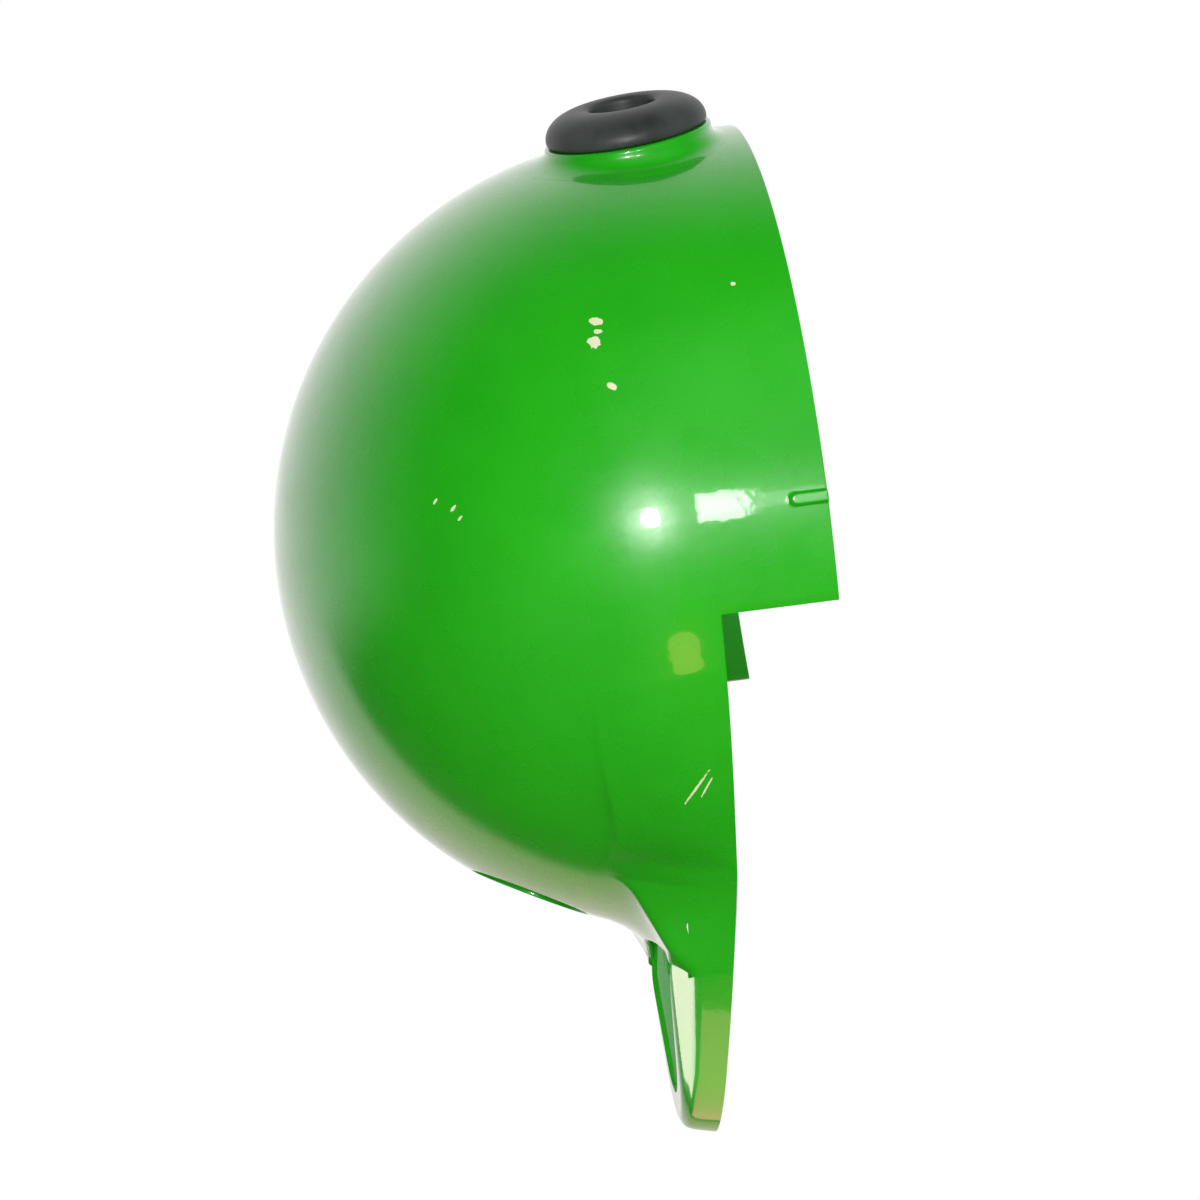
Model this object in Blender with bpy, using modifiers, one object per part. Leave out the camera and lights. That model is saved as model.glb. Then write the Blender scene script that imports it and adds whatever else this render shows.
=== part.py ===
"""Headlamp shell of thin painted sheet: a dome with a short collar round its upper mouth, a pointed
tail shroud below with an open window, and a raised neck that carries a rubber cable grommet.

Metres, +Z up. The origin is the centre of the dome, in the plane of the lower rim. +X points out of
the mouth, and the shell is symmetric about the XZ plane apart from the neck and its grommet.
"""

import math

import bmesh
import bpy
import numpy as np
from mathutils import Matrix, Vector

# Driving dimensions
DOME_RADIUS = 0.080
SHEET = 0.001
GAP = 0.0003
COLLAR_LENGTH = 0.0216
STEP_Z = -0.0265
RIM_BAND = 0.0006

# Stiffening ribs pressed outwards, open to the mouth, at both sides and at the top
RIB_LENGTH = 0.007
RIB_HALF_WIDTH = 0.0015
RIB_HEIGHT = 0.0009
SIDE_RIB_ANGLE = math.radians(84.3)

# Outline of the tail, seen along X: a wedge with a round tip, blended into the dome's circle
TAIL_TIP_Z = -0.1217
TAIL_TIP_RADIUS = 0.022
TAIL_HALF_ANGLE = math.radians(29.1)
TAIL_TOP_Z = -0.045
OUTLINE_BLEND = 0.012

# Section of the tail: an inclined wall from the rim to the ridge, a flank, and a flat round the window
RIM_RECEDES_FROM_Z = -0.071
TIP_SETBACK = 0.0070
SETBACK_POWER = 1.3
WALL_SLOPE = 4.5
DOME_WALL_SLOPE = 2.7
DOME_WALL_RISE = 0.027
DOME_WALL_INSET = 0.0043
WALL_BLEND = 0.004
WALL_TURNS_FROM_Z = -0.078
WALL_TURNS_TO_Z = -0.093
RIDGE_Z = -0.090
RIDGE_DEPTH = 0.0091
RIDGE_DEPTH_GROWTH = 0.105
FLANK_SLOPE = 0.85
FOLD_RISE = 0.47
PLATE_DEPTH = 0.01375
PLATE_RISES_FROM_Z = -0.085
PLATE_RISE = 0.45
FLARE_START_RADIUS = 0.0757
FLARE_END_RADIUS = 0.085
FOLD_ROUND = 0.0024
PLATE_ROUND = 0.0008

# Rows of the skin's mesh: those between the rim and the flare's start, then latitudes in degrees
OUTER_ROWS = 16
INNER_LATITUDES = (24, 32, 41, 51, 62, 74)

# Window of the tail, the lip of the dome above it, and the seam where the tail is lapped to the dome
WINDOW_END_Z = -0.113
WINDOW_END_RADIUS = 0.0131
WINDOW_SIDE_ANGLE = math.radians(33.7)
WINDOW_TOP_Z = -0.079
LIP_HALF_WIDTH = 0.0275
LIP_CROWN_Z = -0.082
LIP_FOOT_Z = -0.090
SEAM_Z = -0.0905

# Hole in the underside of the dome
DRAIN_RADIUS = 0.0125
DRAIN_ANGLE = math.radians(28.3)

# Neck and grommet: heights are counted from the neck's rim, along the neck's axis
NECK_TILT = math.radians(25)
NECK_LEAN = math.radians(5)
NECK_X = -0.0006
NECK_DISTANCE = 0.0819
NECK_RADIUS = 0.0166
NECK_HOLE_RADIUS = 0.0128
NECK_EDGE = 0.0006
NECK_FOOT_RADIUS = 0.0205
NECK_FOOT_DROP = 0.0044
NECK_SKIRT = 0.003
DOME_HOLE_RADIUS = 0.0152
GROMMET_RADIUS = 0.016
GROMMET_BORE_RADIUS = 0.0065
GROMMET_HEIGHT = 0.0060
GROMMET_CROWN_RADIUS = 0.0083
GROMMET_BASE = 0.0008
GROMMET_UNDERCUT = 0.0012
GROMMET_WAIST_RADIUS = 0.0121
GROMMET_WAIST_LENGTH = 0.0040
GROMMET_FOOT_RADIUS = 0.0142
GROMMET_FOOT_LENGTH = 0.003

PART = "headlamp_shell"
CUTTERS = "cutters"


def clear_scene():
    for item in list(bpy.data.objects):
        bpy.data.objects.remove(item, do_unlink=True)


def new_collection(name):
    collection = bpy.data.collections.new(name)
    bpy.context.scene.collection.children.link(collection)
    return collection


def new_material(name, colour, roughness, metallic=0.0):
    material = bpy.data.materials.new(name)
    material.use_nodes = True
    shader = material.node_tree.nodes["Principled BSDF"]
    shader.inputs["Base Color"].default_value = (*colour, 1.0)
    shader.inputs["Roughness"].default_value = roughness
    shader.inputs["Metallic"].default_value = metallic
    return material


def new_object(name, work, collection, material=None):
    mesh = bpy.data.meshes.new(name)
    work.to_mesh(mesh)
    work.free()
    item = bpy.data.objects.new(name, mesh)
    collection.objects.link(item)
    if material:
        mesh.materials.append(material)
    return item


def new_cutter(name, work, collection):
    bmesh.ops.recalc_face_normals(work, faces=work.faces)
    if work.calc_volume(signed=True) < 0:
        bmesh.ops.reverse_faces(work, faces=work.faces)
    item = new_object(name, work, collection)
    item.hide_render = True
    item.display_type = "WIRE"
    return item


def cut(item, cutter):
    boolean = item.modifiers.new(cutter.name, "BOOLEAN")
    boolean.operation = "DIFFERENCE"
    boolean.solver = "MANIFOLD"
    boolean.object = cutter


def smooth_min(first, second, width):
    overlap = np.maximum(width - np.abs(first - second), 0.0)
    return np.minimum(first, second) - overlap * overlap / (4 * width)


def smooth_step(low, high, value):
    s = np.clip((value - low) / (high - low), 0.0, 1.0)
    return s * s * (3 - 2 * s)


def outline_distance(y, z):
    """Signed distance to the shell's outline seen along X, negative inside."""
    circle = np.hypot(y, z) - DOME_RADIUS
    across = np.abs(y)
    up = z - (TAIL_TIP_Z + TAIL_TIP_RADIUS)
    sine, cosine = math.sin(TAIL_HALF_ANGLE), math.cos(TAIL_HALF_ANGLE)
    side = across * cosine - up * sine - TAIL_TIP_RADIUS
    tip = np.hypot(across, up) - TAIL_TIP_RADIUS
    wedge = np.where(across * sine + up * cosine < 0, tip, side)
    wedge = np.maximum(wedge, z - TAIL_TOP_Z)
    return smooth_min(circle, wedge, OUTLINE_BLEND)


def outline_radius(angle):
    """Distance from the origin to the outline, at an angle counted from straight down."""
    low, high = 0.5 * DOME_RADIUS, 2 * DOME_RADIUS
    for _ in range(40):
        middle = (low + high) / 2
        inside = outline_distance(middle * math.sin(angle), -middle * math.cos(angle)) < 0
        low, high = (middle, high) if inside else (low, middle)
    return low


def flare_depth(radius, plate):
    """Depth of the dome, and of the flare that runs from it out to the plate round the window."""
    dome = np.sqrt(np.maximum(DOME_RADIUS**2 - radius**2, 0.0))
    start = math.sqrt(DOME_RADIUS**2 - FLARE_START_RADIUS**2)
    slope = -FLARE_START_RADIUS / start
    run = FLARE_END_RADIUS - FLARE_START_RADIUS
    s = np.clip((radius - FLARE_START_RADIUS) / run, 0.0, 1.0)
    curve = (2 * s**3 - 3 * s**2 + 1) * start + (s**3 - 2 * s**2 + s) * run * slope
    curve = curve + (3 * s**2 - 2 * s**3) * plate
    return np.where(radius < FLARE_START_RADIUS, dome, curve)


def rim_depth(z):
    """How far the tail's rim lies behind the plane of the lower rim."""
    below = np.maximum(RIM_RECEDES_FROM_Z - z, 0.0)
    return TIP_SETBACK * (below / (RIM_RECEDES_FROM_Z - TAIL_TIP_Z)) ** SETBACK_POWER


def wall_depth(inset, reach, z):
    """Depth of the side wall. Reach is how far the outline lies outside the dome's circle."""
    dome_wall = np.sqrt(2 * DOME_RADIUS * inset - inset**2)
    slope = np.maximum(DOME_WALL_SLOPE, DOME_WALL_RISE / (reach + DOME_WALL_INSET))
    slope = slope + (WALL_SLOPE - slope) * smooth_step(-WALL_TURNS_FROM_Z, -WALL_TURNS_TO_Z, -z)
    tail_wall = rim_depth(z) + slope * inset
    return dome_wall + (tail_wall - dome_wall) * smooth_step(0.0, WALL_BLEND, reach)


def plate_depth(inset, z):
    """Depth of the flank inside the tail's ridge, and of the flat round the window."""
    below = np.maximum(RIDGE_Z - z, 0.0)
    ridge = RIDGE_DEPTH + RIDGE_DEPTH_GROWTH * below
    ridge_inset = (ridge - rim_depth(np.minimum(z, RIDGE_Z))) / WALL_SLOPE
    flank = ridge + FLANK_SLOPE * (inset - ridge_inset) + FOLD_RISE * np.maximum(z - RIDGE_Z, 0.0)
    flat = PLATE_DEPTH + PLATE_RISE * np.maximum(z - PLATE_RISES_FROM_Z, 0.0)
    return smooth_min(flank, flat, PLATE_ROUND)


def skin_depth(y, z):
    """Depth of the outer surface behind the plane of the rim, so that x = -depth."""
    radius = np.hypot(y, z)
    inset = np.clip(-outline_distance(y, z), 0.0, DOME_RADIUS)
    reach = np.maximum(inset - (DOME_RADIUS - radius), 0.0)
    wall = wall_depth(inset, reach, z)
    width = 1e-6 + FOLD_ROUND * np.clip(reach / OUTLINE_BLEND, 0.0, 1.0)
    return smooth_min(flare_depth(radius, plate_depth(inset, z)), wall, width)


def rib_height(x, angle):
    """Height of the pressed ribs above the collar, one on each side and one at the top."""
    across = min(abs(angle - centre) for centre in (SIDE_RIB_ANGLE, math.pi)) * DOME_RADIUS
    if x < COLLAR_LENGTH - RIB_LENGTH - 1e-6 or across > RIB_HALF_WIDTH - 1e-6:
        return 0.0
    return RIB_HEIGHT


def column_angles():
    """Angles from straight down: closer together at the tail, the step and the ribs."""
    step = math.degrees(math.acos(-STEP_Z / DOME_RADIUS))
    rib = math.degrees(RIB_HALF_WIDTH / DOME_RADIUS)
    side = math.degrees(SIDE_RIB_ANGLE)
    angles = [2.5 * index for index in range(16)] + list(range(40, 70, 5)) + [step, 75, 79]
    angles += [side - rib, side - rib / 2, side, side + rib / 2, side + rib]
    angles += list(range(90, 180, 5)) + [180 - rib, 180 - rib / 2, 180]
    return [math.radians(angle) for angle in angles], step


def skin_column(angle, rim):
    """Points (radius, depth) from the rim to the last latitude before the pole."""
    outer = rim - FLARE_START_RADIUS
    radii = [FLARE_START_RADIUS + outer * (1 - (row / OUTER_ROWS) ** 2) for row in range(OUTER_ROWS + 1)]
    radii += [DOME_RADIUS * math.cos(math.radians(latitude)) for latitude in INNER_LATITUDES]
    radii = np.array(radii)
    depths = skin_depth(radii * math.sin(angle), -radii * math.cos(angle))
    # A straight band at the rim keeps the sheet's edge flat. It ends before the next row.
    band = min(RIM_BAND, (depths[1] - depths[0]) / 2)
    return [(rim, depths[0]), (rim, depths[0] + band), *zip(radii[1:], depths[1:])]


def half_skin():
    """The outer surface on the +Y side: rings of points round the X axis, and the collar's strips."""
    angles, step = column_angles()
    collar_xs = [COLLAR_LENGTH / 3, COLLAR_LENGTH - RIB_LENGTH - RIB_HEIGHT]
    collar_xs += [COLLAR_LENGTH - RIB_LENGTH, COLLAR_LENGTH]
    work = bmesh.new()
    pole = work.verts.new((-DOME_RADIUS, 0, 0))
    columns, strips = [], []
    for angle in angles:
        sine, cosine = math.sin(angle), -math.cos(angle)
        if angle in (angles[0], angles[-1]):
            sine = 0.0
        above_step = angle > math.radians(step) - 1e-6
        rim = DOME_RADIUS if above_step else outline_radius(angle)
        column = []
        for radius, depth in skin_column(angle, rim):
            column.append(work.verts.new((-depth, radius * sine, radius * cosine)))
        columns.append(column)
        strip = [column[0]]
        for x in collar_xs if above_step else ():
            radius = DOME_RADIUS + rib_height(x, angle)
            strip.append(work.verts.new((x, radius * sine, radius * cosine)))
        strips.append(strip)
    for left, right in zip(columns, columns[1:]):
        for row in range(len(left) - 1):
            work.faces.new((left[row], right[row], right[row + 1], left[row + 1]))
        work.faces.new((left[-1], right[-1], pole))
    for left, right in zip(strips, strips[1:]):
        for row in range(min(len(left), len(right)) - 1):
            work.faces.new((left[row + 1], right[row + 1], right[row], left[row]))
    bmesh.ops.recalc_face_normals(work, faces=work.faces)
    if sum(face.normal.x for face in work.faces) > 0:
        bmesh.ops.reverse_faces(work, faces=work.faces)
    return work


def skin_object(name, collection, material):
    item = new_object(name, half_skin(), collection, material)
    item.data.shade_smooth()
    mirror = item.modifiers.new("both sides", "MIRROR")
    mirror.use_axis = (False, True, False)
    mirror.merge_threshold = 0.0001
    sheet = item.modifiers.new("sheet", "SOLIDIFY")
    sheet.thickness = SHEET
    sheet.offset = -1
    sheet.use_even_offset = True
    sheet.use_quality_normals = True
    return item


def box_cutter(name, low, high, collection):
    work = bmesh.new()
    bmesh.ops.create_cube(work, size=1)
    low, high = Vector(low), Vector(high)
    bmesh.ops.scale(work, vec=high - low, verts=work.verts)
    bmesh.ops.translate(work, vec=(low + high) / 2, verts=work.verts)
    return new_cutter(name, work, collection)


def cylinder_cutter(name, radius, matrix, collection):
    """A cylinder round the Z axis of a matrix, half above and half below its origin."""
    work = bmesh.new()
    bmesh.ops.create_cone(
        work, cap_ends=True, segments=40, radius1=radius, radius2=radius, depth=DOME_RADIUS / 2
    )
    work.transform(matrix)
    return new_cutter(name, work, collection)


def window_outline():
    """The tail's window seen along X: a round lower end and straight sides, open above the seam."""
    centre_z = WINDOW_END_Z + WINDOW_END_RADIUS
    points = [(0.0, WINDOW_END_Z)]
    for angle in np.linspace(-math.pi / 2, -WINDOW_SIDE_ANGLE, 9)[1:]:
        y, z = WINDOW_END_RADIUS * math.cos(angle), WINDOW_END_RADIUS * math.sin(angle)
        points.append((y, centre_z + z))
    y, z = points[-1]
    points.append((y + (WINDOW_TOP_Z - z) * math.tan(WINDOW_SIDE_ANGLE), WINDOW_TOP_Z))
    return points + [(-y, z) for y, z in reversed(points[1:])]


def lip_outline():
    """The opening under the dome's lip seen along X: a flat arch, open below."""
    points = []
    for angle in np.linspace(0, math.pi, 25):
        rise = (LIP_CROWN_Z - LIP_FOOT_Z) * math.sin(angle)
        points.append((LIP_HALF_WIDTH * math.cos(angle), LIP_FOOT_Z + rise))
    low = LIP_FOOT_Z - OUTLINE_BLEND
    return [(LIP_HALF_WIDTH, low), *points, (-LIP_HALF_WIDTH, low)]


def outline_cutter(name, outline, collection):
    """A closed outline of (y, z) points, extruded along X through the back of the tail."""
    work = bmesh.new()
    loop = [work.verts.new((-0.04, y, z)) for y, z in outline]
    made = bmesh.ops.extrude_face_region(work, geom=[work.faces.new(loop)])
    moved = [vert for vert in made["geom"] if isinstance(vert, bmesh.types.BMVert)]
    bmesh.ops.translate(work, vec=(0.06, 0, 0), verts=moved)
    return new_cutter(name, work, collection)


def turned(name, profile, steps, collection, material=None):
    """A closed profile of (radius, height) turned round Z."""
    work = bmesh.new()
    verts = [work.verts.new((radius, 0, height)) for radius, height in profile]
    for first, second in zip(verts, verts[1:] + verts[:1]):
        work.edges.new((first, second))
    item = new_object(name, work, collection, material)
    screw = item.modifiers.new("turn", "SCREW")
    screw.steps = steps
    screw.render_steps = steps
    screw.use_merge_vertices = True
    screw.merge_threshold = 0.00001
    screw.use_smooth_shade = True
    return item


def core_cutter(collection):
    """The space that the dome and collar fill, with a gap: it shapes the underside of the neck."""
    work = bmesh.new()
    radius = DOME_RADIUS + GAP
    profile = [(radius, 2 * COLLAR_LENGTH)]
    profile += [(radius * math.cos(a), -radius * math.sin(a)) for a in np.radians(range(0, 90, 6))]
    verts = [work.verts.new((r, 0, x)) for r, x in profile]
    top = work.verts.new((0, 0, 2 * COLLAR_LENGTH))
    bottom = work.verts.new((0, 0, -radius))
    chain = [top, *verts, bottom]
    edges = [work.edges.new(pair) for pair in zip(chain, chain[1:])]
    bmesh.ops.spin(
        work, geom=[*chain, *edges], cent=(0, 0, 0), axis=(0, 0, 1), angle=2 * math.pi, steps=72
    )
    bmesh.ops.remove_doubles(work, verts=work.verts, dist=0.00001)
    work.transform(Matrix.Rotation(math.pi / 2, 4, "Y"))
    return new_cutter("core_cutter", work, collection)


def neck_matrix():
    """The neck's own axes: the origin in the middle of its rim, +Z out of the shell."""
    place = Matrix.Translation((NECK_X, 0, 0)) @ Matrix.Rotation(NECK_TILT, 4, "X")
    return place @ Matrix.Translation((0, 0, NECK_DISTANCE)) @ Matrix.Rotation(-NECK_LEAN, 4, "Y")


def drain_matrix():
    """The axes of the underside hole, with the origin on the dome and +Z out of it."""
    turn = Matrix.Rotation(math.pi + DRAIN_ANGLE, 4, "Y")
    return turn @ Matrix.Translation((0, 0, DOME_RADIUS))


def neck_frame():
    frame = bpy.data.objects.new("neck_axis", None)
    bpy.data.collections[PART].objects.link(frame)
    frame.matrix_basis = neck_matrix()
    return frame


def neck_profile():
    """A flat top with the grommet's hole, and a wall that flares out to the foot and its skirt."""
    edge, foot = NECK_EDGE, -NECK_FOOT_DROP
    flare = NECK_FOOT_RADIUS - NECK_RADIUS
    outer = [
        (NECK_HOLE_RADIUS, 0),
        (NECK_RADIUS - edge, 0),
        (NECK_RADIUS - edge / 3, -edge / 3),
        (NECK_RADIUS, -edge),
        (NECK_RADIUS + 0.03 * flare, 0.36 * foot),
        (NECK_RADIUS + 0.18 * flare, 0.61 * foot),
        (NECK_RADIUS + 0.49 * flare, 0.84 * foot),
        (NECK_FOOT_RADIUS, foot),
        (NECK_FOOT_RADIUS, foot - NECK_SKIRT),
    ]
    inner = [
        (NECK_RADIUS - SHEET, foot - NECK_SKIRT),
        (NECK_RADIUS - SHEET, -SHEET),
        (NECK_HOLE_RADIUS, -SHEET),
    ]
    return outer + inner


def grommet_profile():
    """Domed flange above, a waist through the neck's hole, and a smaller foot behind it."""
    reach, rise = GROMMET_RADIUS - GROMMET_CROWN_RADIUS, GROMMET_HEIGHT - GROMMET_BASE
    points = [
        (GROMMET_BORE_RADIUS, GROMMET_HEIGHT - GROMMET_UNDERCUT),
        (GROMMET_BORE_RADIUS + GROMMET_UNDERCUT / 3, GROMMET_HEIGHT - GROMMET_UNDERCUT / 4),
    ]
    for angle in np.radians(range(90, -1, -15)):
        across, up = reach * math.cos(angle), rise * math.sin(angle)
        points.append((GROMMET_CROWN_RADIUS + across, GROMMET_BASE + up))
    points += [
        (GROMMET_RADIUS - GROMMET_UNDERCUT, 0),
        (GROMMET_WAIST_RADIUS, 0),
        (GROMMET_WAIST_RADIUS, -GROMMET_WAIST_LENGTH),
        (GROMMET_FOOT_RADIUS, -GROMMET_WAIST_LENGTH),
        (GROMMET_FOOT_RADIUS - SHEET, -GROMMET_WAIST_LENGTH - GROMMET_FOOT_LENGTH),
        (GROMMET_BORE_RADIUS, -GROMMET_WAIST_LENGTH - GROMMET_FOOT_LENGTH),
    ]
    return points


def make_dome_shell(collection, paint, cutters):
    shell = skin_object("dome_shell", collection, paint)
    for cutter in cutters:
        cut(shell, cutter)
    return shell


def make_tail_shroud(collection, paint, cutters):
    tail = skin_object("tail_shroud", collection, paint)
    for cutter in cutters:
        cut(tail, cutter)
    return tail


def make_grommet_neck(collection, paint, frame, core):
    neck = turned("grommet_neck", neck_profile(), 40, collection, paint)
    neck.parent = frame
    cut(neck, core)
    return neck


def make_cable_grommet(collection, rubber, frame):
    grommet = turned("cable_grommet", grommet_profile(), 36, collection, rubber)
    grommet.parent = frame
    grommet.location = (0, 0, GAP)
    return grommet


def main():
    clear_scene()
    collection = new_collection(PART)
    helpers = new_collection(CUTTERS)
    paint = new_material("green_paint", (0.023, 0.479, 0.019), 0.12)
    rubber = new_material("black_rubber", (0.030, 0.034, 0.035), 0.55)

    window = outline_cutter("window_cutter", window_outline(), helpers)
    lip = outline_cutter("lip_cutter", lip_outline(), helpers)
    drain = cylinder_cutter("drain_cutter", DRAIN_RADIUS, drain_matrix(), helpers)
    neck_hole = cylinder_cutter("neck_hole_cutter", DOME_HOLE_RADIUS, neck_matrix(), helpers)
    below_seam = box_cutter("below_seam", (-0.1, -0.1, -0.2), (0.1, 0.1, SEAM_Z), helpers)
    above_seam = box_cutter("above_seam", (-0.1, -0.1, SEAM_Z - GAP), (0.1, 0.1, 0.1), helpers)
    core = core_cutter(helpers)

    make_dome_shell(collection, paint, [drain, neck_hole, lip, below_seam])
    make_tail_shroud(collection, paint, [window, above_seam])
    frame = neck_frame()
    make_grommet_neck(collection, paint, frame, core)
    make_cable_grommet(collection, rubber, frame)


main()
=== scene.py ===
import math

import bmesh
import bpy
import numpy as np
from mathutils import Matrix, Vector


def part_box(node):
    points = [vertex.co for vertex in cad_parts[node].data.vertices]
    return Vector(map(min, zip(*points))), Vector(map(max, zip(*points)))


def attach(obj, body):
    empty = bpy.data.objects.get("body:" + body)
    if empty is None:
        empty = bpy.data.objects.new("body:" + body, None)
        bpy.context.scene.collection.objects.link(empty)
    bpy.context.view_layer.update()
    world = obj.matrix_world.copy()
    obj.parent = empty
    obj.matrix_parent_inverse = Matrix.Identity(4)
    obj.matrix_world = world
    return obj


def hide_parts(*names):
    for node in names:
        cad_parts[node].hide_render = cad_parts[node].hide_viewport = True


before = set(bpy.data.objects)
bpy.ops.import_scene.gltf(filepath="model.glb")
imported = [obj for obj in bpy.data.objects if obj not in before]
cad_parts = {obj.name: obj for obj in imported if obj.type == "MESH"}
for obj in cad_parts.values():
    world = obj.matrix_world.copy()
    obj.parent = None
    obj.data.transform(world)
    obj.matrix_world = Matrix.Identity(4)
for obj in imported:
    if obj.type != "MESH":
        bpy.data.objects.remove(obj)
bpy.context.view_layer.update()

# ---------------------------------------------------------------- sizes from the frame, in metres
DOME_LOW, DOME_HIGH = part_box("dome_shell")
TAIL_TIP_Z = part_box("tail_shroud")[0].z
DOME_RADIUS = -DOME_LOW.x
COLLAR_LENGTH = DOME_HIGH.x
RIB_HEIGHT = DOME_HIGH.z - DOME_RADIUS - 0.00002
SHEET = 0.001
STEP_Z = -0.0265
MM = 0.001
EDGE_ROUND = 0.28 * MM

# Outline of the tail, seen along X
TAIL_TIP_RADIUS = 0.022
TAIL_HALF_ANGLE = math.radians(29.1)
TAIL_TOP_Z = -0.045
OUTLINE_BLEND = 0.012

# Section of the tail: an inclined wall from the rim to the ridge, a flank, and a flat round the window
RIM_RECEDES_FROM_Z = -0.071
TIP_SETBACK = 0.0070
SETBACK_POWER = 1.3
WALL_SLOPE = 4.5
DOME_WALL_SLOPE = 2.7
DOME_WALL_RISE = 0.027
DOME_WALL_INSET = 0.0043
WALL_BLEND = 0.004
WALL_TURNS_FROM_Z = -0.078
WALL_TURNS_TO_Z = -0.093
RIDGE_Z = -0.090
RIDGE_DEPTH = 0.0091
RIDGE_DEPTH_GROWTH = 0.105
FLANK_SLOPE = 0.85
FOLD_RISE = 0.47
PLATE_DEPTH = 0.01375
PLATE_RISES_FROM_Z = -0.085
PLATE_RISE = 0.45
FLARE_START_RADIUS = 0.0757
FLARE_END_RADIUS = 0.085
FOLD_ROUND = 0.0024
PLATE_ROUND = 0.0008

# Window, the lip of the dome above it, the seam and the underside hole
WINDOW_END_Z = -0.113
WINDOW_END_RADIUS = 0.0131
WINDOW_SIDE_ANGLE = math.radians(33.7)
WINDOW_TOP_Z = -0.079
LIP_HALF_WIDTH = 0.0275
LIP_CROWN_Z = -0.082
LIP_FOOT_Z = -0.090
SEAM_Z = -0.0905
TONGUE_HALF_WIDTH = 0.0268
TONGUE_HEIGHT = 0.0105
TONGUE_DROP = 0.0008
TONGUE_DROP_SHARE = 0.9
TONGUE_STEPS = 12
CUT_FROM_X = -0.04
CUT_TO_X = 0.02
DRAIN_RADIUS = 0.0125
DRAIN_ANGLE = math.radians(28.3)
DRAIN_FROM = 0.06
DRAIN_TO = 0.10

# Wear on the paint of the near side, and two pale streaks at z = -56 that are a painted reflection of a
# lamp, in mm and degrees: centre x and z, two half sizes, turn
WEAR_AND_REFLECTION_MARKS = [
    (-15, 30, 1.5, 0.8, -20), (-16, 26, 1.2, 1.4, 30), (-15, 28, 0.8, 0.5, 0),
    (-14, 17, 1.1, 0.7, -35), (11, 34, 0.5, 0.4, 0), (-48, 2, 0.7, 0.3, 50),
    # The last two entries on the next line are a painted reflection: pale streaks where a lamp's reflection
    # falls, not wear.
    (-45, 0, 0.8, 0.3, 45), (-44, -2, 0.6, 0.3, 40), (-7, -56, 4.6, 0.28, 48), (-5, -56, 2.2, 0.2, 55),
]
# Pale primer colour of the chipped spots, also used as the colour of the painted reflection streaks.
PRIMER_AND_REFLECTION_COLOUR = (0.72, 0.74, 0.50, 1.0)

# Ribs at the mouth
RIB_LENGTH = 0.0072
RIB_HALF_WIDTH = 0.0014
RIB_EDGE = 0.0006
SIDE_RIB_ANGLE = math.radians(84.3)

# Neck and grommet: heights are counted from the neck's rim, along the neck's axis
NECK_TILT = math.radians(25)
NECK_LEAN = math.radians(5)
NECK_X = -0.0006
NECK_DISTANCE = 0.0819
NECK_RADIUS = 0.0166
NECK_HOLE_RADIUS = 0.0128
NECK_EDGE = 0.0007
NECK_FILLET = 0.0052
NECK_FRONT_FILLET = 0.0030
GROMMET_RADIUS = 0.016
GROMMET_BORE_RADIUS = 0.0065
GROMMET_HEIGHT = 0.0060
GROMMET_CROWN_RADIUS = 0.0083
GROMMET_BASE = 0.0010
GROMMET_WAIST_RADIUS = 0.0121
GROMMET_WAIST_LENGTH = 0.0040
GROMMET_FOOT_RADIUS = 0.0142
GROMMET_FOOT_LENGTH = 0.003
GROMMET_LIFT = 0.0001
GROMMET_EDGE = 0.0009
GROMMET_LIP = 0.0011
FOOT_EDGE = 0.0006
FOOT_TAPER = 0.0010

# Camera: the view that the object is seen from, in dome radii where it is a distance
CAMERA_YAW = math.radians(4.36)
CAMERA_ROLL = math.radians(7.72)
CAMERA_ELEVATION = math.radians(-6.37)
CAMERA_DISTANCE = 8.0
CAMERA_ASIDE = (0.171, 0.180)
CAMERA_LENS = 93.86

FLOOR_Z = -0.45

# Light of the surroundings
ROOM_LIGHT = 0.02
BACKDROP_LIGHT = 1.0
LOW_BACKDROP_LIGHT = 0.75
BACKDROP_LOW_COLOUR = (1.0, 0.87, 0.58, 1.0)

# Cards that only the gloss shows: the point each one faces, and where it hangs from there
FLANK_POINT = Vector((-0.012, -0.024, -0.100))
WHITE_CARD_OFFSET = Vector((-0.914, 0.113, -0.385)) * 0.036
TIP_POINT = Vector((-0.005, -0.025, -0.108))
BEIGE_CARD_OFFSET = Vector((-0.0078, 0.0008, -0.0569))
WARM_POINT = Vector((-0.006, -0.073, -0.032))
WARM_OFFSET = Vector((-0.0741, -0.755, -0.651)) * 0.5
CENTRE = (0, 0, 0)
WHITE = (1, 1, 1)


# ---------------------------------------------------------------- surface of the shell
def smooth_min(first, second, width):
    overlap = np.maximum(width - np.abs(first - second), 0.0)
    return np.minimum(first, second) - overlap * overlap / (4 * width)


def smooth_step(low, high, value):
    s = np.clip((value - low) / (high - low), 0.0, 1.0)
    return s * s * (3 - 2 * s)


def outline_distance(y, z):
    """Signed distance to the shell's outline seen along X, negative inside."""
    circle = np.hypot(y, z) - DOME_RADIUS
    across = np.abs(y)
    up = z - (TAIL_TIP_Z + TAIL_TIP_RADIUS)
    sine, cosine = math.sin(TAIL_HALF_ANGLE), math.cos(TAIL_HALF_ANGLE)
    side = across * cosine - up * sine - TAIL_TIP_RADIUS
    tip = np.hypot(across, up) - TAIL_TIP_RADIUS
    wedge = np.where(across * sine + up * cosine < 0, tip, side)
    wedge = np.maximum(wedge, z - TAIL_TOP_Z)
    return smooth_min(circle, wedge, OUTLINE_BLEND)


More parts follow.
